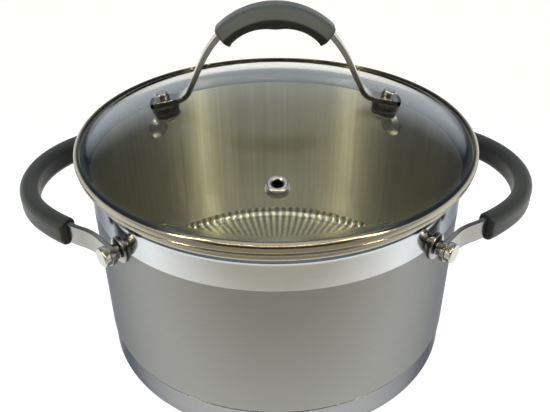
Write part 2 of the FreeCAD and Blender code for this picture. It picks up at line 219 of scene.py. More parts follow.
# ---- fineness of the meshes ----
ROUND = 256                 # faces round the pot and the lid
SMALL_ROUND = 48            # faces round a fitting
ARC_STEP = math.radians(9)  # turn of one face of a rounded edge
PATH_STEP = math.radians(2.5)
END_FACES = 6               # faces round the corner of a bar's or a sleeve's end
TIP_FACES = 8               # faces from a side bar's rivet to its tip
TIP_TURN = math.radians(88)
BLEND_FACES = 5             # faces from the dome to its flat ring
DOME_FACES = 28             # faces from the dome's top to that blend
SUPPORT = 0.15              # a thin face beside each rounded edge keeps the flat beside it flat in the shading
STRAIGHT_END = 0.5          # length of the thin face at each end of a bar's straight
STRAIGHT_END_SHARE = 0.2    # but no more of the straight than this
TIP_EDGE_SHARE = 0.4        # a bar's edge is rounded no more than this share of its width
SHARP = math.radians(32)
MERGE = 1e-7                # metres: vertices nearer each other are one
ON_AXIS = 1e-6              # millimetres: a point nearer the axis is a pole

# ---- light: degrees up from the table or aside from the front, and strengths ----
TENT_POWER = 2.0
TENT_FRONT = [(0, "161512"), (26, "201e1a"), (38, "8a867a"), (55, "908c80"), (75, "c4c4c4")]
TENT_SIDES = [(0, "c0c4ca"), (10, "b8bcc2"), (24, "242c38"), (55, "28323e"), (75, "c4c4c4")]
TENT_BACK = [(0, "888c90"), (20, "888c90"), (38, "787c80"), (55, "787c80"), (75, "c4c4c4")]
FRONT_TO_SIDES = (30.0, 55.0)
SIDES_TO_BACK = (145.0, 178.0)
LAMP_TONE = "ffedc0"
LAMP_RISE = 52.0
LAMP_SIZE = 1.6
LAMP_STEP = 5.0
LAMP_SPREAD = 53.0
LAMP_POWER = 60.0
POST_ASIDE = 55.0
POST_WIDTH = 2.5
POST_RISE = 40.0
POST_HEIGHT = 40.0
POST_POWER = 45.0

# ---- light table, in metres: its glow comes up from nought in front of the pot and falls to a share behind it ----
TABLE_HALF = 8.0
TABLE_GLOW = 0.8
GLOW_FRONT = (-0.26, -0.118)
GLOW_BACK = (0.12, 0.35)
GLOW_BACK_SHARE = 0.72

# ---- camera ----
CAMERA_PLACE = (-3.1, -383.4, 339.9)
CAMERA_DOWN = 33.14
CAMERA_SWING = -0.33
CAMERA_ROLL = -0.47
CAMERA_LENS = 44.15
CAMERA_REACH = (0.01, 50.0)

# ---- node kinds that are used often ----
MATHS = "ShaderNodeMath"
RANGE = "ShaderNodeMapRange"
MIX = "ShaderNodeMix"
PRINCIPLED = "ShaderNodeBsdfPrincipled"
MIDDLE = {"From Min": 0.25, "From Max": 0.75}   # holds nearly all of a noise's values

# ---- painted top light on silicone: the normal's upward share where it is full, and how much of it shows there ----
PAINTED_TOP_LIGHT_FULL = 0.7
PAINTED_TOP_LIGHT_MOST = 0.9


# ---------------------------------------------------------------- colour and nodes
def linear(code):
    """sRGB hex, such as "8c8c88", as linear RGBA."""
    channels = [int(code[i:i + 2], 16) / 255 for i in (0, 2, 4)]
    return [c / 12.92 if c <= 0.04045 else ((c + 0.055) / 1.055) ** 2.4 for c in channels] + [1.0]


def add_node(tree, kind, links=None, **settings):
    """A node with its settings; links give each input, by name or number, a value, an output or a node's first one."""
    node = tree.nodes.new(kind)
    for name, value in settings.items():
        setattr(node, name, value)
    for key, value in (links or {}).items():
        if isinstance(value, bpy.types.Node):
            value = value.outputs[0]
        if isinstance(value, bpy.types.NodeSocket):
            tree.links.new(value, node.inputs[key])
        else:
            node.inputs[key].default_value = value
    return node


def surface(name):
    """An empty material with its output: the tree and the output's surface socket."""
    material = bpy.data.materials.new(name)
    material.use_nodes = True
    tree = material.node_tree
    tree.nodes.clear()
    output = add_node(tree, "ShaderNodeOutputMaterial")
    return material, tree, output.inputs["Surface"]


def stretched_grain(tree, grain_mm, detail=3.0):
    """Noise on Object coordinates whose grain is grain_mm = (x, y, z) millimetres long."""
    place = add_node(tree, "ShaderNodeTexCoord").outputs["Object"]
    mapped = add_node(tree, "ShaderNodeMapping", {"Vector": place, "Scale": [1 / (MM * size) for size in grain_mm]})
    return add_node(tree, "ShaderNodeTexNoise", {"Vector": mapped, "Scale": 1.0, "Detail": detail})


def grained(tree, grain, dark, light, rough):
    """Links for a colour from dark to light and a roughness over rough = (low, high), both by the grain."""
    share = add_node(tree, RANGE, {"Value": grain, **MIDDLE})
    colour = add_node(tree, MIX, {"Factor": share, 6: linear(dark), 7: linear(light)}, data_type="RGBA")
    roughness = add_node(tree, RANGE, {"Value": grain, **MIDDLE, "To Min": rough[0], "To Max": rough[1]})
    return {"Base Color": colour.outputs[2], "Roughness": roughness}


def brushed_round(tree, strength):
    """Scratches that run round the axis, with the highlight drawn out across them."""
    tangent = add_node(tree, "ShaderNodeTangent", direction_type="RADIAL", axis="Z")
    return {"Anisotropic": strength, "Anisotropic Rotation": 0.25, "Tangent": tangent}


def steel(name, dark, light, rough, grain_mm, anisotropic=0.0, bump=0.0, edge="ffffff"):
    """A metal: grain_mm is the size of the finish's grain, and edge the tint of a grazing reflection."""
    material, tree, out = surface(name)
    grain = stretched_grain(tree, grain_mm)
    links = grained(tree, grain, dark, light, rough)
    links.update({"Metallic": 1.0, "Specular Tint": linear(edge)})
    if bump:
        links["Normal"] = add_node(tree, "ShaderNodeBump", {
            "Height": grain, "Strength": bump, "Distance": 0.02 * MM})
    if anisotropic:
        links.update(brushed_round(tree, anisotropic))
    tree.links.new(add_node(tree, PRINCIPLED, links).outputs[0], out)
    return material


def drawn_floor(name, rough, ring_mm, mark_depth):
    """Circles left by the lathe, crossed by even draw marks that run in over the bend: the marks are bumps, and are
    also painted pale and dark as a painted reflection of the lamps.
    """
    material, tree, out = surface(name)
    place = add_node(tree, "ShaderNodeTexCoord").outputs["Object"]
    axes = add_node(tree, "ShaderNodeSeparateXYZ", {0: place}).outputs
    flat = add_node(tree, "ShaderNodeVectorMath", {0: place, 1: (1.0, 1.0, 0.0)}, operation="MULTIPLY")
    reach = add_node(tree, "ShaderNodeVectorMath", {0: flat}, operation="LENGTH").outputs["Value"]
    rings = add_node(tree, "ShaderNodeTexNoise", {"W": reach, "Scale": 1 / (ring_mm * MM), "Detail": 3.0},
                     noise_dimensions="1D")
    angle = add_node(tree, MATHS, {0: axes["Y"], 1: axes["X"]}, operation="ARCTAN2")
    turns = add_node(tree, MATHS, {0: angle, 1: DRAW_MARKS_AND_PAINTED_RAYS}, operation="MULTIPLY")
    marks = add_node(tree, MATHS, {0: turns}, operation="SINE")
    outward = add_node(tree, RANGE, {
        "Value": reach, "From Min": MARKS_START * lower_radius * MM, "From Max": MARKS_FULL * lower_radius * MM})
    marks_and_painted_rays = add_node(tree, MATHS, {0: marks, 1: outward}, operation="MULTIPLY")
    ring_height = add_node(tree, MATHS, {0: rings, 1: RING_SHARE}, operation="MULTIPLY")
    mark_height = add_node(tree, MATHS, {0: marks_and_painted_rays, 1: mark_depth}, operation="MULTIPLY")
    height = add_node(tree, MATHS, {0: ring_height, 1: mark_height}, operation="ADD")
    # painted reflection: the marks' colour runs from dark to pale, as bright rays of the lamps
    half = add_node(tree, MATHS, {0: marks_and_painted_rays, 1: 0.5}, operation="MULTIPLY")
    tone = add_node(tree, MATHS, {0: half, 1: 0.5}, operation="ADD")
    colour = add_node(tree, MIX, {"Factor": tone, 6: linear("8c8a78"), 7: linear("f4f2e2")}, data_type="RGBA")
    shader = add_node(tree, PRINCIPLED, {
        "Base Color": colour.outputs[2],
        "Metallic": 1.0,
        "Roughness": add_node(tree, RANGE, {"Value": rings, **MIDDLE, "To Min": rough[0], "To Max": rough[1]}),
        "Normal": add_node(tree, "ShaderNodeBump", {"Height": height, "Strength": 1.0, "Distance": 0.1 * MM}),
        **brushed_round(tree, 0.9),
    })
    tree.links.new(shader.outputs[0], out)
    return material


def silicone(name, dark, light, painted_top_light, rough, grain_mm):
    """Moulded silicone: a soft matt black, with painted light that makes it paler where it faces up."""
    material, tree, out = surface(name)
    grain = stretched_grain(tree, (grain_mm,) * 3, detail=4.0)
    links = grained(tree, grain, dark, light, rough)
    # painted light: faces turned up are mixed towards a paler colour, as if lit from above
    facing = add_node(tree, "ShaderNodeNewGeometry").outputs["Normal"]
    upward = add_node(tree, "ShaderNodeSeparateXYZ", {0: facing}).outputs["Z"]
    share = add_node(tree, RANGE, {"Value": upward, "From Min": 0.0, "From Max": PAINTED_TOP_LIGHT_FULL, "To Max": PAINTED_TOP_LIGHT_MOST},
                     interpolation_type="SMOOTHSTEP")
    top_lit_colour = add_node(tree, MIX, {"Factor": share, 6: links["Base Color"], 7: linear(painted_top_light)}, data_type="RGBA")
    links.update({
        "Base Color": top_lit_colour.outputs[2],
        "IOR": 1.43,
        "Sheen Weight": 0.15,
        "Sheen Roughness": 0.5,
        "Normal": add_node(tree, "ShaderNodeBump", {"Height": grain, "Strength": 0.25, "Distance": 0.05 * MM}),
    })
    tree.links.new(add_node(tree, PRINCIPLED, links).outputs[0], out)
    return material


def tempered_glass(name):
    """Clear tempered soda-lime glass: sharp reflections over a faint green body. Lamps shine through it."""
    material, tree, out = surface(name)
    cloud = stretched_grain(tree, (45.0, 45.0, 45.0), detail=1.0)
    share = add_node(tree, RANGE, {"Value": cloud, **MIDDLE})
    colour = add_node(tree, MIX, {"Factor": share, 6: linear("f6fbf9"), 7: linear("fafdfb")}, data_type="RGBA")
    glass = add_node(tree, PRINCIPLED, {
        "Base Color": colour.outputs[2],
        "Roughness": 0.0,
        "IOR": 1.5,
        "Specular Tint": linear("a4acb4"),
        "Transmission Weight": 1.0,
    })
    clear = add_node(tree, "ShaderNodeBsdfTransparent", {"Color": linear("f4f8f6")})
    shadow = add_node(tree, "ShaderNodeLightPath").outputs["Is Shadow Ray"]
    mixed = add_node(tree, "ShaderNodeMixShader", {0: shadow, 1: glass, 2: clear})
    tree.links.new(mixed.outputs[0], out)
    return material


def make_materials():
    """Every finish, by what wears it."""
    # A grain is (x, y, z) in millimetres, so (60, 60, 1) is level lines 1 mm apart. Real brushing and polishing lines
    # are near 0.1 mm apart and a moulded grain near 0.05 mm, too fine to show: each is drawn as coarse as it needs.
    return {
        # stainless steel brushed on the lathe: level lines, drawn 0.9 mm apart, stretch the light up and down
        "wall": steel("brushed_stainless_wall", "9a9b9a", "9fa09f", (0.36, 0.40), (60.0, 60.0, 0.9), 0.6, 0.05,
                      edge="9a9ea4"),
        # the same steel buffed with compound: a bright mirror, a little milky; its lines are drawn 2 mm apart
        "belt": steel("buffed_stainless_belt", "d4d7da", "d8dbde", (0.10, 0.13), (60.0, 60.0, 2.0), 0.3,
                      edge="8a8e94"),
        # the ledge inside the rim, buffed less; its dark blue-grey tone is painted shade under the lid: a calm band
        "ledge": steel("painted_shade_stainless_ledge", "4e5256", "505458", (0.20, 0.22), (60.0, 60.0, 3.0), 0.3),
        # satin inside, with upright marks from drawing the wall, 2.6 mm apart: lamps become tall pale stripes
        "inside": steel("satin_stainless_inside", "b2b1ab", "c6c5be", (0.33, 0.38), (2.6, 2.6, 250.0), 1.0),
        # floor turned on the lathe: rings drawn 0.6 mm apart, and draw marks bumped in and painted as bright rays, a
        # painted reflection of the lamps
        "floor": drawn_floor("ring_turned_stainless_floor", (0.24, 0.30), 0.6, 0.5),
        # the bend is polished by the drawing die: shorter and brighter painted rays
        "bend": drawn_floor("drawn_stainless_bend", (0.16, 0.20), 1.5, 1.2),
        # pressed and polished base: a cool band that darkens towards its sides; its lines are drawn 1.2 mm apart
        "cap": steel("polished_stainless_cap", "9a9b9e", "a2a3a6", (0.2, 0.24), (60.0, 60.0, 1.2), 0.5,
                     edge="7c8086"),
        # rolled and polished hoop: warm, with sharp level glints; its lines are drawn 1.5 mm apart. The pot's lip wears
        # it too, darker than the belt below it, as painted shade under the hoop
        "hoop": steel("polished_stainless_hoop", "a29c8c", "a8a292", (0.14, 0.18), (60.0, 60.0, 1.5), 0.3),
        # tumbled and polished flat bar: a clear grey mirror with a faint cloud in it
        "strap": steel("polished_stainless_strap", "949490", "a0a09c", (0.14, 0.22), (6.0, 6.0, 6.0)),
        # headed and polished rivets, screws, washers and nuts: small hard glints
        "fitting": steel("polished_stainless_fitting", "b9b8b4", "c4c3bf", (0.12, 0.17), (2.0, 2.0, 2.0)),
        # turned spacers, polished a little less than the heads; their darker tone is painted shade between bar and
        # wall, so that they stand back
        "spacer": steel("turned_stainless_spacer_painted_shade", "969695", "a2a2a1", (0.14, 0.20), (2.0, 2.0, 2.0)),
        # the vent's eyelet, spun over and buffed: a bright warm ring with no speckle
        "vent": steel("spun_stainless_vent", "d6cfc8", "dcd6d0", (0.16, 0.20), (8.0, 8.0, 8.0)),
        # painted shade: near-black steel in the seam above the base and in the vent's bore, a dark line where shade
        # falls
        "seam": steel("painted_shade_stainless_seam", "161616", "242422", (0.45, 0.55), (4.0, 4.0, 4.0)),
        # moulded silicone of the side grips: soft charcoal with no sharp highlight, a little paler on top as painted
        # light; its grain is drawn 0.8 mm
        "sleeve": silicone("moulded_silicone_sleeve", "141819", "1c2022", "2c3337", (0.42, 0.52), 0.8),
        # the lid's grip is the same silicone with a stronger painted light, so that its top is paler
        "lid_sleeve": silicone("moulded_silicone_lid_sleeve", "141819", "1c2022", "4c565c", (0.42, 0.52), 0.8),
        # seals under the lid's feet, in shade: near black and a little shinier
        "seal": silicone("moulded_silicone_seal", "08090a", "0e1011", "0e1011", (0.34, 0.42), 0.6),
        # pressed and tempered glass: clear, with a faint green where it is seen deep
        "glass": tempered_glass("tempered_glass_clear"),
        # rolled aluminium plate, which the base cap hides: pale, with soft rolling lines
        "core": steel("rolled_aluminium_core", "b8b8ba", "c8c8ca", (0.35, 0.45), (8.0, 0.6, 8.0)),
    }


# ---------------------------------------------------------------- sections
def outline(corners, ends_open):
    """Points of a section from corners (across, up, radius): an arc at each rounded corner, thin faces beside it."""
    points = []
    count = len(corners)
    for i, (x, z, radius) in enumerate(corners):
        here = Vector((x, z))
        if radius == 0 or (ends_open and i in (0, count - 1)):
            points.append(here)
            continue
        before = Vector(corners[i - 1][:2]) - here
        after = Vector(corners[(i + 1) % count][:2]) - here
        half = before.angle(after) / 2
        cut = radius / math.tan(half)
        back, ahead = before.normalized(), after.normalized()
        start, end = here + back * cut, here + ahead * cut
        centre = here + (back + ahead).normalized() * (radius / math.sin(half))
        sweep = math.pi - 2 * half
        faces = max(2, math.ceil(sweep / ARC_STEP))
        from_centre = start - centre
        side = 1 if from_centre.cross(end - centre) > 0 else -1
        if before.length > cut + 2 * SUPPORT:
            points.append(start + back * SUPPORT)
        for k in range(faces + 1):
            turn = Matrix.Rotation(side * sweep * k / faces, 2)
            points.append(centre + turn @ from_centre)
        if after.length > cut + 2 * SUPPORT:
            points.append(end + ahead * SUPPORT)
    return points


def bridged(mesh, rings, closed):
    """Faces between successive rings of vertices; a ring of one vertex is a pole."""
    pairs = list(zip(rings, rings[1:]))
    if closed:
        pairs.append((rings[-1], rings[0]))
    for one, two in pairs:
        count = max(len(one), len(two))
        for k in range(count):
            corners = [one[k % len(one)], one[(k + 1) % len(one)], two[(k + 1) % len(two)], two[k % len(two)]]
            kept = [v for i, v in enumerate(corners) if v not in corners[:i]]
            if len(kept) > 2:
                mesh.faces.new(kept)


def finished(name, mesh, place=None):
    """The mesh as an object: doubles merged, normals outwards, smooth with its real edges sharp."""
    bmesh.ops.remove_doubles(mesh, verts=mesh.verts, dist=MERGE)
    if place is not None:
        bmesh.ops.transform(mesh, matrix=place, verts=mesh.verts)
    bmesh.ops.recalc_face_normals(mesh, faces=mesh.faces)
    data = bpy.data.meshes.new(name)
    mesh.to_mesh(data)
    mesh.free()
    data.shade_smooth()
    data.set_sharp_from_angle(angle=SHARP)
    piece = bpy.data.objects.new(name, data)
    bpy.context.scene.collection.objects.link(piece)
    return piece


def applied(piece, modifier):
    """Gives a piece the mesh that its one modifier makes of it."""
    graph = bpy.context.evaluated_depsgraph_get()
    data = bpy.data.meshes.new_from_object(piece.evaluated_get(graph))
    piece.modifiers.remove(modifier)
    piece.data = data


def turned(name, corners, around=ROUND, place=None, flats_beyond=None):
    """A body of revolution about Z; a section that starts and ends on the axis is open there.

    Points further out than flats_beyond lie on six flats.
    """
    on_axis = corners[0][0] == 0
    mesh = bmesh.new()
    rings = []
    for point in outline(corners, on_axis):
        if point.x < ON_AXIS:
            rings.append([mesh.verts.new((0, 0, point.y * MM))])
            continue
        ring = []
        for k in range(around):
            angle = 2 * math.pi * k / around
            reach = point.x
            if flats_beyond is not None and reach > flats_beyond:
                reach *= math.cos(math.pi / 6) / math.cos(angle % (math.pi / 3) - math.pi / 6)
            ring.append(mesh.verts.new((reach * math.cos(angle) * MM, reach * math.sin(angle) * MM,
                                        point.y * MM)))
        rings.append(ring)
    bridged(mesh, rings, not on_axis)
    return finished(name, mesh, place)


def on_wall():
    """Lays a shape built along +Z onto the +X radius at the handles' height."""
    return Matrix.Translation((0, 0, handle_height * MM)) @ Matrix.Rotation(math.radians(90), 4, "Y")


def dome_slope(reach):
    """The dome's tilt and height at a reach from the axis."""
    return math.asin(reach / dome_radius), dome_centre + math.sqrt(dome_radius ** 2 - reach ** 2)


def on_dome(reach, angle):
    """Stands a shape built along +Z on the dome, square to the glass."""
    tilt, height = dome_slope(reach)
    return (Matrix.Rotation(math.radians(angle), 4, "Z") @ Matrix.Translation((reach * MM, 0, height * MM))
            @ Matrix.Rotation(tilt, 4, "Y"))


# ---------------------------------------------------------------- bent bars and sleeves
class Station:
    """A place on a bent bar's centre line, in its own plane."""

    def __init__(self, point, heading):
        self.point = point
        self.heading = heading

    def ahead(self):
        return Vector((math.cos(self.heading), math.sin(self.heading)))

    def left(self):
        return Vector((-math.sin(self.heading), math.cos(self.heading)))

    def moved(self, bend, share=1.0):
        """Where the line is after a share of a straight (length,) or an arc (radius, turn in degrees)."""
        if len(bend) == 1:
            return Station(self.point + self.ahead() * bend[0] * share, self.heading)
        radius, turn = bend[0], math.radians(bend[1])
        side = math.copysign(1, turn)
        centre = self.point + self.left() * radius * side
        end = Station(self.point, self.heading + turn * share)
        end.point = centre - end.left() * radius * side
        return end


def stations(start, bends):
    """Stations close enough together for a smooth bend, with thin faces at both ends of each straight."""
    line = [start]
    for bend in bends:
        here = line[-1]
        if len(bend) == 1:
            near = min(STRAIGHT_END / bend[0], STRAIGHT_END_SHARE)
            shares = (near, 1 - near, 1.0)
        else:
            count = max(2, math.ceil(abs(math.radians(bend[1])) / PATH_STEP))
            shares = [(k + 1) / count for k in range(count)]
        line += [here.moved(bend, share) for share in shares]
    return line


def bar_section(thick, tall, corner):
    """Rounded rectangle, thick across the path and tall square to its plane."""
    return outline([(-thick / 2, -tall / 2, corner), (thick / 2, -tall / 2, corner),
                    (thick / 2, tall / 2, corner), (-thick / 2, tall / 2, corner)], False)


def ring_at(mesh, station, section, plane):
    """The section's vertices at a station; plane turns path x, path y and up into the frame's axes."""
    ring = []
    for across, up in section:
        spot = station.point + station.left() * across
        ring.append(mesh.verts.new(plane(spot.x, spot.y, up)))
    return ring


def flat_plane(height):
    """A path seen from above, at a height."""
    return lambda x, y, up: (x * MM, y * MM, (height + up) * MM)


def upright_plane(x, y, up):
    """A path in the XZ plane."""
    return (x * MM, -up * MM, y * MM)


def side_handle_line():
    """Start and bends of the right handle's bar, from its front rivet to its back rivet."""
    angle = math.radians(-rivet_angle)
    start = Station(Vector((math.cos(angle), math.sin(angle))) * bar_line, math.radians(90 - rivet_angle))
    probe = start
    for bend in side_lead:
        probe = probe.moved(bend)
    bow = 90 - math.degrees(probe.heading)
    bow_radius = -probe.point.y / math.sin(math.radians(bow))
    return start, side_lead + [(bow_radius, 2 * bow)] + side_lead[::-1]


def lid_handle_line():
    """Start and bends of the lid handle's bar, left to right, as X and height."""
    tilt, on_glass = dome_slope(screw_reach)
    lift = seat_gap + upper_seal_height + lid_bar_thick / 2
    screw = Vector((-screw_reach - lift * math.sin(tilt), on_glass + lift * math.cos(tilt)))
    start = Station(screw, tilt).moved((-foot_end,))
    half = [(foot_end + foot_lead,), (foot_bend, riser_angle - math.degrees(tilt)), (riser_length,),
            (crown_bend, crown_angle - riser_angle)]
    probe = start
    for bend in half:
        probe = probe.moved(bend)
    crown = (-probe.point.x / math.sin(math.radians(crown_angle)), -2 * crown_angle)
    return start, half + [crown] + half[::-1], probe, crown


def capped_bar(name, mesh, rings):
    """A bar through its rings, closed at both ends."""
    bridged(mesh, rings, False)
    mesh.faces.new(rings[0])
    mesh.faces.new(rings[-1])
    return finished(name, mesh)


def side_bar(name):
    """Flat bar whose ends are rounded about their rivets."""
    start, bends = side_handle_line()
    line = stations(start, bends)
    half = bar_tall / 2
    tips = []
    for k in range(1, TIP_FACES + 1):
        turn = TIP_TURN * k / TIP_FACES
        tips.append((half * math.sin(turn), bar_tall * math.cos(turn)))

    def tip_section(tall):
        return bar_section(bar_thick, tall, min(bar_edge, tall * TIP_EDGE_SHARE))

    mesh = bmesh.new()
    plane = flat_plane(handle_height)
    rings = [ring_at(mesh, line[0].moved((-reach,)), tip_section(tall), plane) for reach, tall in reversed(tips)]
    rings += [ring_at(mesh, station, bar_section(bar_thick, bar_tall, bar_edge), plane) for station in line]
    rings += [ring_at(mesh, line[-1].moved((reach,)), tip_section(tall), plane) for reach, tall in tips]
    return capped_bar(name, mesh, rings)


def lid_bar(name):
    """Flat bar bent into two feet, two risers and a crown; the feet have rounded corners."""
    start, bends, _, _ = lid_handle_line()
    line = stations(start, bends)
    corner = []
    for k in range(END_FACES + 1):
        turn = math.radians(90 * k / END_FACES)
        corner.append((foot_corner * (1 - math.sin(turn)), lid_bar_wide - 2 * foot_corner * (1 - math.cos(turn))))
    spots = [(line[0].moved((inward,)), wide) for inward, wide in reversed(corner)]
    spots += [(station, lid_bar_wide) for station in line[1:-1]]
    spots += [(line[-1].moved((-inward,)), wide) for inward, wide in corner]
    mesh = bmesh.new()
    rings = [ring_at(mesh, station, bar_section(lid_bar_thick, wide, bar_edge), upright_plane)
             for station, wide in spots]
    return capped_bar(name, mesh, rings)


def sleeve(name, line, section, bar, plane, scallop=0.0):
    """Moulded sleeve round a bar: rounded ends, a passage for the bar, and finger hollows if scallop is set.

    section gives the sleeve's corners (across, up, radius) for an inset of its surface.
    """
    mesh = bmesh.new()
    turns = [math.radians(90 * k / END_FACES) for k in range(END_FACES + 1)]
    ends = [(grip_end_round * (1 - math.sin(t)), grip_end_round * (1 - math.cos(t))) for t in turns]
    spots = [(line[0].moved((inward,)), inset) for inward, inset in reversed(ends)]
    spots += [(station, 0.0) for station in line[1:-1]]
    spots += [(line[-1].moved((-inward,)), inset) for inward, inset in ends]
    total = len(spots) - 1
    outside = []
    for i, (station, inset) in enumerate(spots):
        hollow = scallop * abs(math.sin(2 * math.pi * i / total)) if 0 < i < total else 0.0
        shaped = [(across + hollow * max(0.0, -across / grip_scallop_depth) ** 2, up)
                  for across, up in outline(section(inset), False)]
        outside.append(ring_at(mesh, station, shaped, plane))
    bridged(mesh, outside, False)
    passage = bar_section(bar[0] + 2 * sleeve_gap, bar[1] + 2 * sleeve_gap, bar_edge)
    inside = [ring_at(mesh, station, passage, plane) for station in line]
    bridged(mesh, inside, False)
    for outer, inner in ((outside[0], inside[0]), (outside[-1], inside[-1])):
        rims = [mesh.edges.get((ring[k - 1], ring[k])) for ring in (outer, inner) for k in range(len(ring))]
        bmesh.ops.bridge_loops(mesh, edges=rims)
    return finished(name, mesh)


def side_grip_section(inset):
    thick, tall, corner = grip_thick / 2 - inset, grip_tall / 2 - inset, grip_corner - inset
    return [(-thick, -tall, corner), (thick, -tall, corner), (thick, tall, corner), (-thick, tall, corner)]


def lid_grip_section(inset):
    """Crowned above, widest at a soft edge halfway down, and drawn in below it for the fingers."""
    top = lid_grip_thick / 2 - lid_grip_drop - inset
    low = -lid_grip_thick / 2 - lid_grip_drop - lid_grip_belly + inset
    edge = top - lid_grip_edge_drop
    wide = lid_grip_wide / 2 - inset
    corners = [(top, lid_grip_crown_half, lid_grip_corner), (edge, wide, lid_grip_edge_round),
               (low, lid_grip_low_half - inset, lid_grip_low_round)]
    return [(x, -y, r) for x, y, r in corners[::-1]] + corners


# ---------------------------------------------------------------- pieces that repeat
def copies_tree():
    """Turns copies of a piece about the Z axis: groups half a turn apart, with a pair spread each side of each."""
    tree = bpy.data.node_groups.new("copies_about_the_axis", "GeometryNodeTree")
    for name, kind in (("Piece", "Geometry"), ("Per Side", "Int"), ("Spread", "Float"), ("Material", "Material")):
        tree.interface.new_socket(name, in_out="INPUT", socket_type="NodeSocket" + kind)
    tree.interface.new_socket("Geometry", in_out="OUTPUT", socket_type="NodeSocketGeometry")
    given = add_node(tree, "NodeGroupInput").outputs
    per_side = given["Per Side"]
    index = add_node(tree, "GeometryNodeInputIndex")
    share = add_node(tree, MATHS, {0: index, 1: per_side}, operation="DIVIDE")
    side = add_node(tree, MATHS, {0: share}, operation="FLOOR")
    within = add_node(tree, MATHS, {0: index, 1: per_side}, operation="MODULO")
    twice = add_node(tree, MATHS, {0: within, 1: 2.0}, operation="MULTIPLY")
    last = add_node(tree, MATHS, {0: per_side, 1: 1.0}, operation="SUBTRACT")
    step = add_node(tree, MATHS, {0: twice, 1: last}, operation="SUBTRACT")
    half_turns = add_node(tree, MATHS, {0: side, 1: math.pi}, operation="MULTIPLY")
    aside = add_node(tree, MATHS, {0: step, 1: given["Spread"]}, operation="MULTIPLY")
    angle = add_node(tree, MATHS, {0: half_turns, 1: aside}, operation="ADD")
    turn = add_node(tree, "ShaderNodeCombineXYZ", {"Z": angle})
    count = add_node(tree, MATHS, {0: per_side, 1: 2.0}, operation="MULTIPLY")
    points = add_node(tree, "GeometryNodePoints", {"Count": count})
    placed = add_node(tree, "GeometryNodeInstanceOnPoints", {
        "Points": points, "Instance": given["Piece"], "Rotation": turn})
    real = add_node(tree, "GeometryNodeRealizeInstances", {"Geometry": placed})
    painted = add_node(tree, "GeometryNodeSetMaterial", {"Geometry": real, "Material": given["Material"]})
    add_node(tree, "NodeGroupOutput", {"Geometry": painted})
    return tree


def copied(piece, tree, per_side, spread, material):
    """Replaces a piece's mesh by its copies about the axis, as one plain mesh."""
    modifier = piece.modifiers.new("copies", "NODES")
    modifier.node_group = tree
    names = {item.name: item.identifier for item in tree.interface.items_tree if item.in_out == "INPUT"}
    modifier[names["Per Side"]] = per_side
    modifier[names["Spread"]] = math.radians(spread)
    modifier[names["Material"]] = material
    applied(piece, modifier)


# ---------------------------------------------------------------- the pieces
def pot_shell():
    """Drawn shell: stepped in at the base, flared at the top, with a rolled lip."""
    step_low = cap_height + seam_gap
    step_high = step_low + (body_radius - lower_radius)
    groove_top = cap_height + groove
    return turned("drawn_pot_shell", [
        (0, shell_floor, 0),
        (lower_radius, shell_floor, floor_corner),
        (lower_radius, groove_top, 0),
        (body_radius, groove_top, edge_round),
        (body_radius, belt_low, 0),
        (body_radius, flare_start, flare_bend),
        (flared_radius, flare_head, flare_bend - wall),
        (flared_radius, rim_height - lip_thickness, 0),
        (rim_radius, rim_height - lip_thickness, lip_round),
        (rim_radius, rim_height, lip_round),
        (flared_radius - wall, rim_height, lip_thickness / 2),
        (flared_radius - wall, flare_head, flare_bend),
        (inner_radius, flare_start, flare_bend - wall),
        (inner_radius, step_high + draw_in_height, draw_in_bend),
        (lower_radius - wall, step_low, draw_in_bend),
        (lower_radius - wall, shell_floor + wall, floor_corner - wall),
        (0, shell_floor + wall, 0),
    ])


def paint_shell(shell, materials):
    """Brushed wall, buffed belt, satin inside, turned floor, and painted shade, by where each face is: near-black steel
    in the seam, darker steel on the ledge, and the hoop's darker polished steel on the lip.
    """
    names = ("wall", "belt", "ledge", "inside", "bend", "floor", "seam", "hoop")
    for name in names:
        shell.data.materials.append(materials[name])
    bend_top = (shell_floor + floor_corner) * MM
    floor_reach = (lower_radius - floor_corner) * MM
    for face in shell.data.polygons:
        centre, normal = face.center, face.normal
        reach = math.hypot(centre.x, centre.y)
        inward = normal.x * centre.x + normal.y * centre.y < 0
        if centre.z < bend_top and reach < (lower_radius - wall / 2) * MM and (inward or normal.z > 0.5):
            chosen = "floor" if reach < floor_reach else "bend"
        # painted shade: the seam's faces take the near-black steel
        elif not inward and centre.z < (cap_height + groove + edge_round) * MM:
            chosen = "seam"
        elif inward and centre.z < (flare_start - flare_bend) * MM:
            chosen = "inside"
        # painted shade: the ledge takes the dark steel
        elif inward and centre.z < (rim_height - lip_inside) * MM:
            chosen = "ledge"
        # painted shade: the lip takes the hoop's darker steel, for the shade under the lid's hoop
        elif centre.z > flare_head * MM:
            chosen = "hoop"
        elif centre.z > belt_low * MM:
            chosen = "belt"
        else:
            chosen = "wall"
        face.material_index = names.index(chosen)


def base_cap():
    """Shallow pressed cup over the base's core."""
    return turned("pressed_base_cap", [
        (0, 0, 0),
        (cap_radius, 0, cap_corner),
        (cap_radius, cap_height, cap_edge_round),
        (cap_radius - cap_sheet, cap_height, 0),
        (cap_radius - cap_sheet, cap_sheet, cap_corner - cap_sheet),
        (0, cap_sheet, 0),
    ])


def rim_hoop():
    """Strip folded round the glass's edge, open towards the middle."""
    inner = band_radius - band_width
    wall_inner = band_radius - band_sheet
    return turned("folded_rim_hoop", [
        (inner, band_bottom, 0),
        (band_radius, band_bottom, band_lower_corner),
        (band_radius, band_top, band_crown),
        (inner, band_top, band_edge),
        (inner, band_top - band_sheet, band_edge),
        (wall_inner, band_top - band_sheet, band_crown - band_sheet),
        (wall_inner, band_bottom + band_sheet, band_edge),
        (inner, band_bottom + band_sheet, band_edge),
    ])


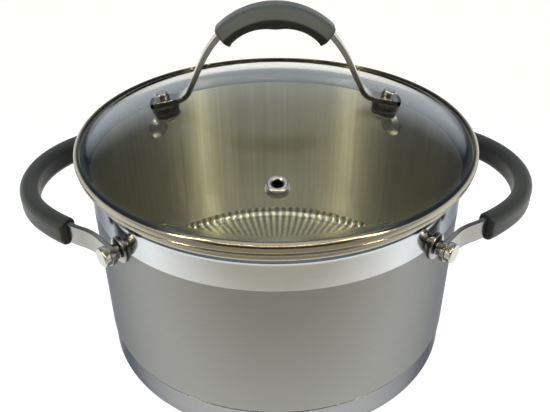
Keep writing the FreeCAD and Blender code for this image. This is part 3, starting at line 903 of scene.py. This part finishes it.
def dome_points(radius, from_angle, to_angle, count):
    """Corners of an arc about the dome's centre, angles from the axis."""
    step = (to_angle - from_angle) / count
    return [(radius * math.sin(from_angle + step * k), dome_centre + radius * math.cos(from_angle + step * k), 0)
            for k in range(count + 1)]


def blend_points(radius, height, bend):
    """Where the dome's arc ends, and a tangent arc from there to the flat ring at a height."""
    ring = height + bend
    apart = radius + bend
    angle = math.acos((ring - dome_centre) / apart)
    across = apart * math.sin(angle)
    turns = [angle * (1 - k / BLEND_FACES) for k in range(1, BLEND_FACES + 1)]
    return angle, [(across - bend * math.sin(turn), ring - bend * math.cos(turn), 0) for turn in turns]


def glass_disc():
    """Domed disc: two concentric arcs that blend into a flat ring, with a rounded edge."""
    under = dome_radius - glass_thickness
    top_angle, top_blend = blend_points(dome_radius, glass_top, dome_blend)
    low_angle, low_blend = blend_points(under, glass_bottom, dome_blend + glass_thickness)
    corners = dome_points(dome_radius, 0, top_angle, DOME_FACES) + top_blend
    corners += [(glass_radius, glass_top, band_corner), (glass_radius, glass_bottom, band_lower_corner)]
    corners += low_blend[::-1] + dome_points(under, 0, low_angle, DOME_FACES)[::-1]
    return turned("domed_glass", corners)


def drilled(piece, holes):
    """Cuts round holes; each is (radius, place of a drill along its own Z)."""
    for radius, place in holes:
        reach = glass_thickness + glass_drill_over
        drill = turned("drill", [(0, -reach, 0), (radius, -reach, 0), (radius, reach, 0), (0, reach, 0)],
                       SMALL_ROUND, place)
        cut = piece.modifiers.new("hole", "BOOLEAN")
        cut.operation = "DIFFERENCE"
        cut.solver = "EXACT"
        cut.object = drill
        applied(piece, cut)
        bpy.data.objects.remove(drill)
    piece.data.shade_smooth()
    piece.data.set_sharp_from_angle(angle=SHARP)
    return piece


def rivet():
    """One rivet through the bar, its spacer and the wall: a crowned head inside and a flat one outside."""
    seat = math.sqrt(inner_radius ** 2 - inner_head_radius ** 2) - seat_gap
    top = bar_outer_face + outer_head_height
    return turned("handle_rivets", [
        (0, seat - inner_head_height, 0),
        (inner_crown_radius, seat - inner_head_height, inner_crown_round),
        (inner_head_radius, seat - inner_rim_height, inner_rim_round),
        (inner_head_radius, seat, 0),
        (shank_radius, seat, 0),
        (shank_radius, bar_outer_face, 0),
        (outer_head_radius, bar_outer_face, edge_round),
        (outer_head_radius, top, outer_head_round),
        (0, top, 0),
    ], SMALL_ROUND, on_wall())


def spacer():
    """One spacer, with a flange on the wall and a neck up to the bar."""
    base = body_radius + seat_gap / 2
    bore = shank_radius + hole_clearance
    return turned("handle_spacers", [
        (bore, base, 0),
        (spacer_flange_radius, base, edge_round),
        (spacer_flange_radius, base + spacer_rim_height, spacer_rim_round),
        (spacer_neck_radius, base + spacer_flange_height, spacer_neck_round),
        (spacer_neck_radius, bar_inner_face, 0),
        (bore, bar_inner_face, 0),
    ], SMALL_ROUND, on_wall())


def fitting_sections():
    """Sections of the lid handle's fittings, along the screw, from the glass's upper face."""
    bore = screw_radius + hole_clearance
    foot_top = seat_gap + upper_seal_height + lid_bar_thick
    lower_seat = -glass_thickness - 2 * seat_gap
    seal_low = lower_seat - lower_seal_height
    nut_top = seal_low - washer_height
    nut_low = nut_top - nut_height

    def ring(radius, low, high, edge):
        return [(bore, low, 0), (radius, low, edge), (radius, high, edge), (bore, high, 0)]

    return {
        "lid_handle_screws": ("handle_screw", "fitting", [
            (0, nut_low, 0), (screw_radius, nut_low, screw_tip_round), (screw_radius, foot_top, 0),
            (screw_head_radius, foot_top, edge_round),
            (screw_head_radius, foot_top + screw_head_height, screw_head_round),
            (0, foot_top + screw_head_height, 0)]),
        "lid_upper_seals": ("upper_seal", "seal",
                            ring(upper_seal_radius, seat_gap, seat_gap + upper_seal_height, upper_seal_round)),
        "lid_lower_seals": ("lower_seal", "seal", ring(lower_seal_radius, seal_low, lower_seat, lower_seal_round)),
        "lid_clamp_washers": ("clamp_washer", "fitting", ring(washer_radius, nut_top, seal_low, edge_round)),
        "lid_dome_nuts": ("cap_nut", "fitting", [
            (0, nut_low - nut_dome, 0), (nut_across, nut_low - nut_dome, nut_dome_round), (nut_across, nut_low, 0),
            (nut_radius, nut_low + nut_chamfer, 0), (nut_radius, nut_top, edge_round), (screw_radius, nut_top, 0),
            (screw_radius, nut_low + nut_floor, 0), (0, nut_low + nut_floor, 0)]),
    }


def vent_sections():
    """Sections of the vent's spun eyelet and of the ring under it, from the glass's upper face."""
    ring_high = -glass_thickness - 2 * seat_gap
    ring_low = ring_high - vent_ring_height
    lip = vent_tube_radius + vent_lip_reach
    eyelet = [
        (vent_bore_radius, ring_low - vent_lip_height, edge_round),
        (lip, ring_low - vent_lip_height, edge_round),
        (lip, ring_low, 0),
        (vent_tube_radius, ring_low, 0),
        (vent_tube_radius, seat_gap, 0),
        (vent_flange_radius, seat_gap, edge_round),
        (vent_flange_radius, seat_gap + vent_flange_height, vent_flange_round),
        (vent_bore_radius, seat_gap + vent_flange_height, vent_mouth_round),
    ]
    bore = vent_tube_radius + hole_clearance
    ring = [(bore, ring_low, 0), (vent_ring_radius, ring_low, vent_ring_round), (vent_ring_radius, ring_high, 0),
            (bore, ring_high, 0)]
    return {"vent_eyelet_spun": ("vent_eyelet", eyelet), "vent_backing_ring": ("vent_ring", ring)}


def paint_bore(piece, painted_shade):
    """Paints shade into the vent's bore with dark steel: the faces that look at its axis from close by."""
    piece.data.materials.append(painted_shade)
    centre = on_dome(vent_reach, vent_side)
    axis = (centre.to_3x3() @ Vector((0, 0, 1))).normalized()
    for face in piece.data.polygons:
        off = face.center - centre.translation
        off -= axis * off.dot(axis)
        if off.length < (vent_bore_radius + vent_bore_slack) * MM and off.dot(face.normal) < 0:
            face.material_index = 1


def turned_half(piece):
    """A copy of a piece turned half a turn about the axis, for the left side."""
    twin = piece.copy()
    twin.data = piece.data.copy()
    twin.data.transform(Matrix.Rotation(math.pi, 4, "Z"))
    bpy.context.scene.collection.objects.link(twin)
    return twin


def settle(piece, body, nodes, material=None):
    """Gives a piece its material, its body and the nodes that it stands for."""
    if material is not None:
        piece.data.materials.clear()
        piece.data.materials.append(material)
    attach(piece, body)
    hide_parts(*nodes)


def build(materials):
    """Every piece, with its material, its body and the nodes that it stands for."""
    tree = copies_tree()
    shell = pot_shell()
    paint_shell(shell, materials)
    settle(shell, "pot", ["pot_shell"])
    settle(base_cap(), "pot", ["base_cap"], materials["cap"])

    start, bends = side_handle_line()
    begin = start.moved(bends[0]).moved(bends[1])
    shoulder, turn = bends[2]
    begin = begin.moved((shoulder, turn - grip_cover))
    covered = stations(begin, [(shoulder, grip_cover), bends[3], (shoulder, grip_cover)])
    bar = side_bar("right_handle_strap")
    grip = sleeve("right_handle_sleeve", covered, side_grip_section, (bar_thick, bar_tall),
                  flat_plane(handle_height))
    for side in ("right", "left"):
        if side == "left":
            bar, grip = turned_half(bar), turned_half(grip)
            bar.name, grip.name = "left_handle_strap", "left_handle_sleeve"
        settle(bar, "pot", [side + "_handle_bar"], materials["strap"])
        settle(grip, "pot", [side + "_handle_grip"], materials["sleeve"])
    ends = ["front_right", "front_left", "back_right", "back_left"]
    for piece, node, finish in ((rivet(), "_rivet", "fitting"), (spacer(), "_spacer", "spacer")):
        copied(piece, tree, 2, rivet_angle, materials[finish])
        settle(piece, "pot", [end + node for end in ends])

    settle(rim_hoop(), "lid_rim", ["lid_rim_band"], materials["hoop"])
    holes = [(glass_hole_radius, on_dome(screw_reach, 0)), (glass_hole_radius, on_dome(screw_reach, 180)),
             (vent_hole_radius, on_dome(vent_reach, vent_side))]
    settle(drilled(glass_disc(), holes), "lid", ["lid_glass"], materials["glass"])
    settle(lid_bar("lid_handle_strap"), "lid", ["lid_handle_bar"], materials["strap"])
    _, _, crown_start, crown = lid_handle_line()
    grip = sleeve("lid_handle_sleeve", stations(crown_start, [crown]), lid_grip_section,
                  (lid_bar_thick, lid_bar_wide), upright_plane, finger_scallop)
    settle(grip, "lid", ["lid_handle_grip"], materials["lid_sleeve"])
    for name, (node, finish, section) in fitting_sections().items():
        piece = turned(name, section, SMALL_ROUND, on_dome(screw_reach, 0),
                       nut_across if name == "lid_dome_nuts" else None)
        copied(piece, tree, 1, 0.0, materials[finish])
        settle(piece, "lid", ["lid_right_" + node, "lid_left_" + node])
    for name, (node, section) in vent_sections().items():
        piece = turned(name, section, SMALL_ROUND, on_dome(vent_reach, vent_side))
        settle(piece, "lid", [node], materials["vent"])
        paint_bore(piece, materials["seam"])
    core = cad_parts["base_core"]
    core.data.materials.clear()
    core.data.materials.append(materials["core"])


# ---------------------------------------------------------------- floor, light and camera
def make_table():
    """Pale matt light table, brightest round the pot and less so in front of it and behind."""
    material, tree, out = surface("pale_matt_light_table")
    cloud = stretched_grain(tree, (40.0, 40.0, 40.0))
    colour = add_node(tree, MIX, {"Factor": cloud, 6: linear("c0c2c4"), 7: linear("c4c6c8")}, data_type="RGBA")
    place = add_node(tree, "ShaderNodeTexCoord").outputs["Object"]
    depth = add_node(tree, "ShaderNodeSeparateXYZ", {0: place}).outputs["Y"]
    glows = [add_node(tree, RANGE, {"Value": depth, "From Min": first, "From Max": last, "To Min": low, "To Max": high})
             for (first, last), low, high in ((GLOW_FRONT, 0.0, TABLE_GLOW), (GLOW_BACK, 1.0, GLOW_BACK_SHARE))]
    shader = add_node(tree, PRINCIPLED, {
        "Base Color": colour.outputs[2],
        "Roughness": 0.8,
        "Specular IOR Level": 0.1,
        "Emission Color": linear("f4f8ff"),
        "Emission Strength": add_node(tree, MATHS, {0: glows[0], 1: glows[1]}, operation="MULTIPLY"),
    })
    tree.links.new(shader.outputs[0], out)
    half = TABLE_HALF
    data = bpy.data.meshes.new("table")
    data.from_pydata([(-half, -half, 0), (half, -half, 0), (half, half, 0), (-half, half, 0)], [], [(0, 1, 2, 3)])
    data.materials.append(material)
    table = bpy.data.objects.new("table", data)
    bpy.context.scene.collection.objects.link(table)


def make_world():
    """A white tent that is open in front: bright low walls at the sides, a soft roof, and a row of warm lamps."""
    world = bpy.data.worlds.new("studio_tent")
    bpy.context.scene.world = world
    world.use_nodes = True
    tree = world.node_tree
    tree.nodes.clear()
    way = add_node(tree, "ShaderNodeTexCoord").outputs["Generated"]
    axes = add_node(tree, "ShaderNodeSeparateXYZ", {0: way}).outputs
    rise = add_node(tree, MATHS, {0: axes["Z"]}, operation="ARCSINE")
    nearer = add_node(tree, MATHS, {0: axes["Y"], 1: -1.0}, operation="MULTIPLY")
    # nought in front of the pot, on the camera's side
    bearing = add_node(tree, MATHS, {0: axes["X"], 1: nearer}, operation="ARCTAN2")
    aside = add_node(tree, MATHS, {0: bearing}, operation="ABSOLUTE")

    share = add_node(tree, MATHS, {0: rise, 1: math.pi / 2}, operation="DIVIDE")
    tones = []
    for stops in (TENT_FRONT, TENT_SIDES, TENT_BACK):
        ramp = add_node(tree, "ShaderNodeValToRGB", {"Fac": share})
        elements = ramp.color_ramp.elements
        while len(elements) < len(stops):
            elements.new(0.5)
        for element, (degrees, code) in zip(elements, stops):
            element.position = degrees / 90
            element.color = linear(code)
        tones.append(ramp)
    walls = tones[2]
    for tone, (first, last) in ((tones[1], SIDES_TO_BACK), (tones[0], FRONT_TO_SIDES)):
        turned_away = add_node(tree, RANGE, {
            "Value": aside, "From Min": math.radians(first), "From Max": math.radians(last)},
            interpolation_type="SMOOTHSTEP")
        walls = add_node(tree, MIX, {"Factor": turned_away, 6: tone, 7: walls}, data_type="RGBA").outputs[2]

    off_lamp = add_node(tree, MATHS, {0: bearing, 1: math.radians(LAMP_STEP / 2)}, operation="PINGPONG")
    dots = add_node(tree, MATHS, {0: off_lamp, 1: math.radians(LAMP_SIZE / 2)}, operation="LESS_THAN")
    level, width, height = [
        add_node(tree, MATHS, {0: angle, 1: math.radians(middle), 2: math.radians(size / 2)}, operation="COMPARE")
        for angle, middle, size in ((rise, LAMP_RISE, LAMP_SIZE), (aside, POST_ASIDE, POST_WIDTH),
                                    (rise, POST_RISE, POST_HEIGHT))]
    spread = add_node(tree, MATHS, {0: aside, 1: math.radians(LAMP_SPREAD)}, operation="LESS_THAN")
    row = add_node(tree, MATHS, {0: level, 1: spread}, operation="MULTIPLY")
    lamps = add_node(tree, MATHS, {0: dots, 1: row}, operation="MULTIPLY")
    posts = add_node(tree, MATHS, {0: width, 1: height}, operation="MULTIPLY")
    lit_lamps = add_node(tree, MATHS, {0: lamps, 1: LAMP_POWER}, operation="MULTIPLY")
    lit_posts = add_node(tree, MATHS, {0: posts, 1: POST_POWER}, operation="MULTIPLY")
    power = add_node(tree, MATHS, {0: lit_lamps, 1: lit_posts}, operation="ADD")
    warm = add_node(tree, "ShaderNodeVectorMath", {0: linear(LAMP_TONE)[:3], 3: power}, operation="SCALE")
    sky = add_node(tree, "ShaderNodeVectorMath", {0: walls, 1: (TENT_POWER,) * 3, 2: warm},
                   operation="MULTIPLY_ADD")
    light = add_node(tree, "ShaderNodeBackground", {"Color": sky, "Strength": 1.0})
    out = add_node(tree, "ShaderNodeOutputWorld")
    tree.links.new(light.outputs[0], out.inputs["Surface"])


def make_camera():
    """Seen from the front and above, a little left of the handles' centre line."""
    data = bpy.data.cameras.new("camera")
    data.sensor_width = 36.0
    data.lens = CAMERA_LENS
    data.clip_start, data.clip_end = CAMERA_REACH
    camera = bpy.data.objects.new("camera", data)
    camera.matrix_world = (Matrix.Translation(Vector(CAMERA_PLACE) * MM)
                           @ Matrix.Rotation(math.radians(CAMERA_SWING), 4, "Z")
                           @ Matrix.Rotation(math.radians(90) - math.radians(CAMERA_DOWN), 4, "X")
                           @ Matrix.Rotation(math.radians(CAMERA_ROLL), 4, "Z"))
    bpy.context.scene.collection.objects.link(camera)
    bpy.context.scene.camera = camera


build(make_materials())
make_table()
make_world()
make_camera()
bpy.context.scene.view_settings.view_transform = "Standard"
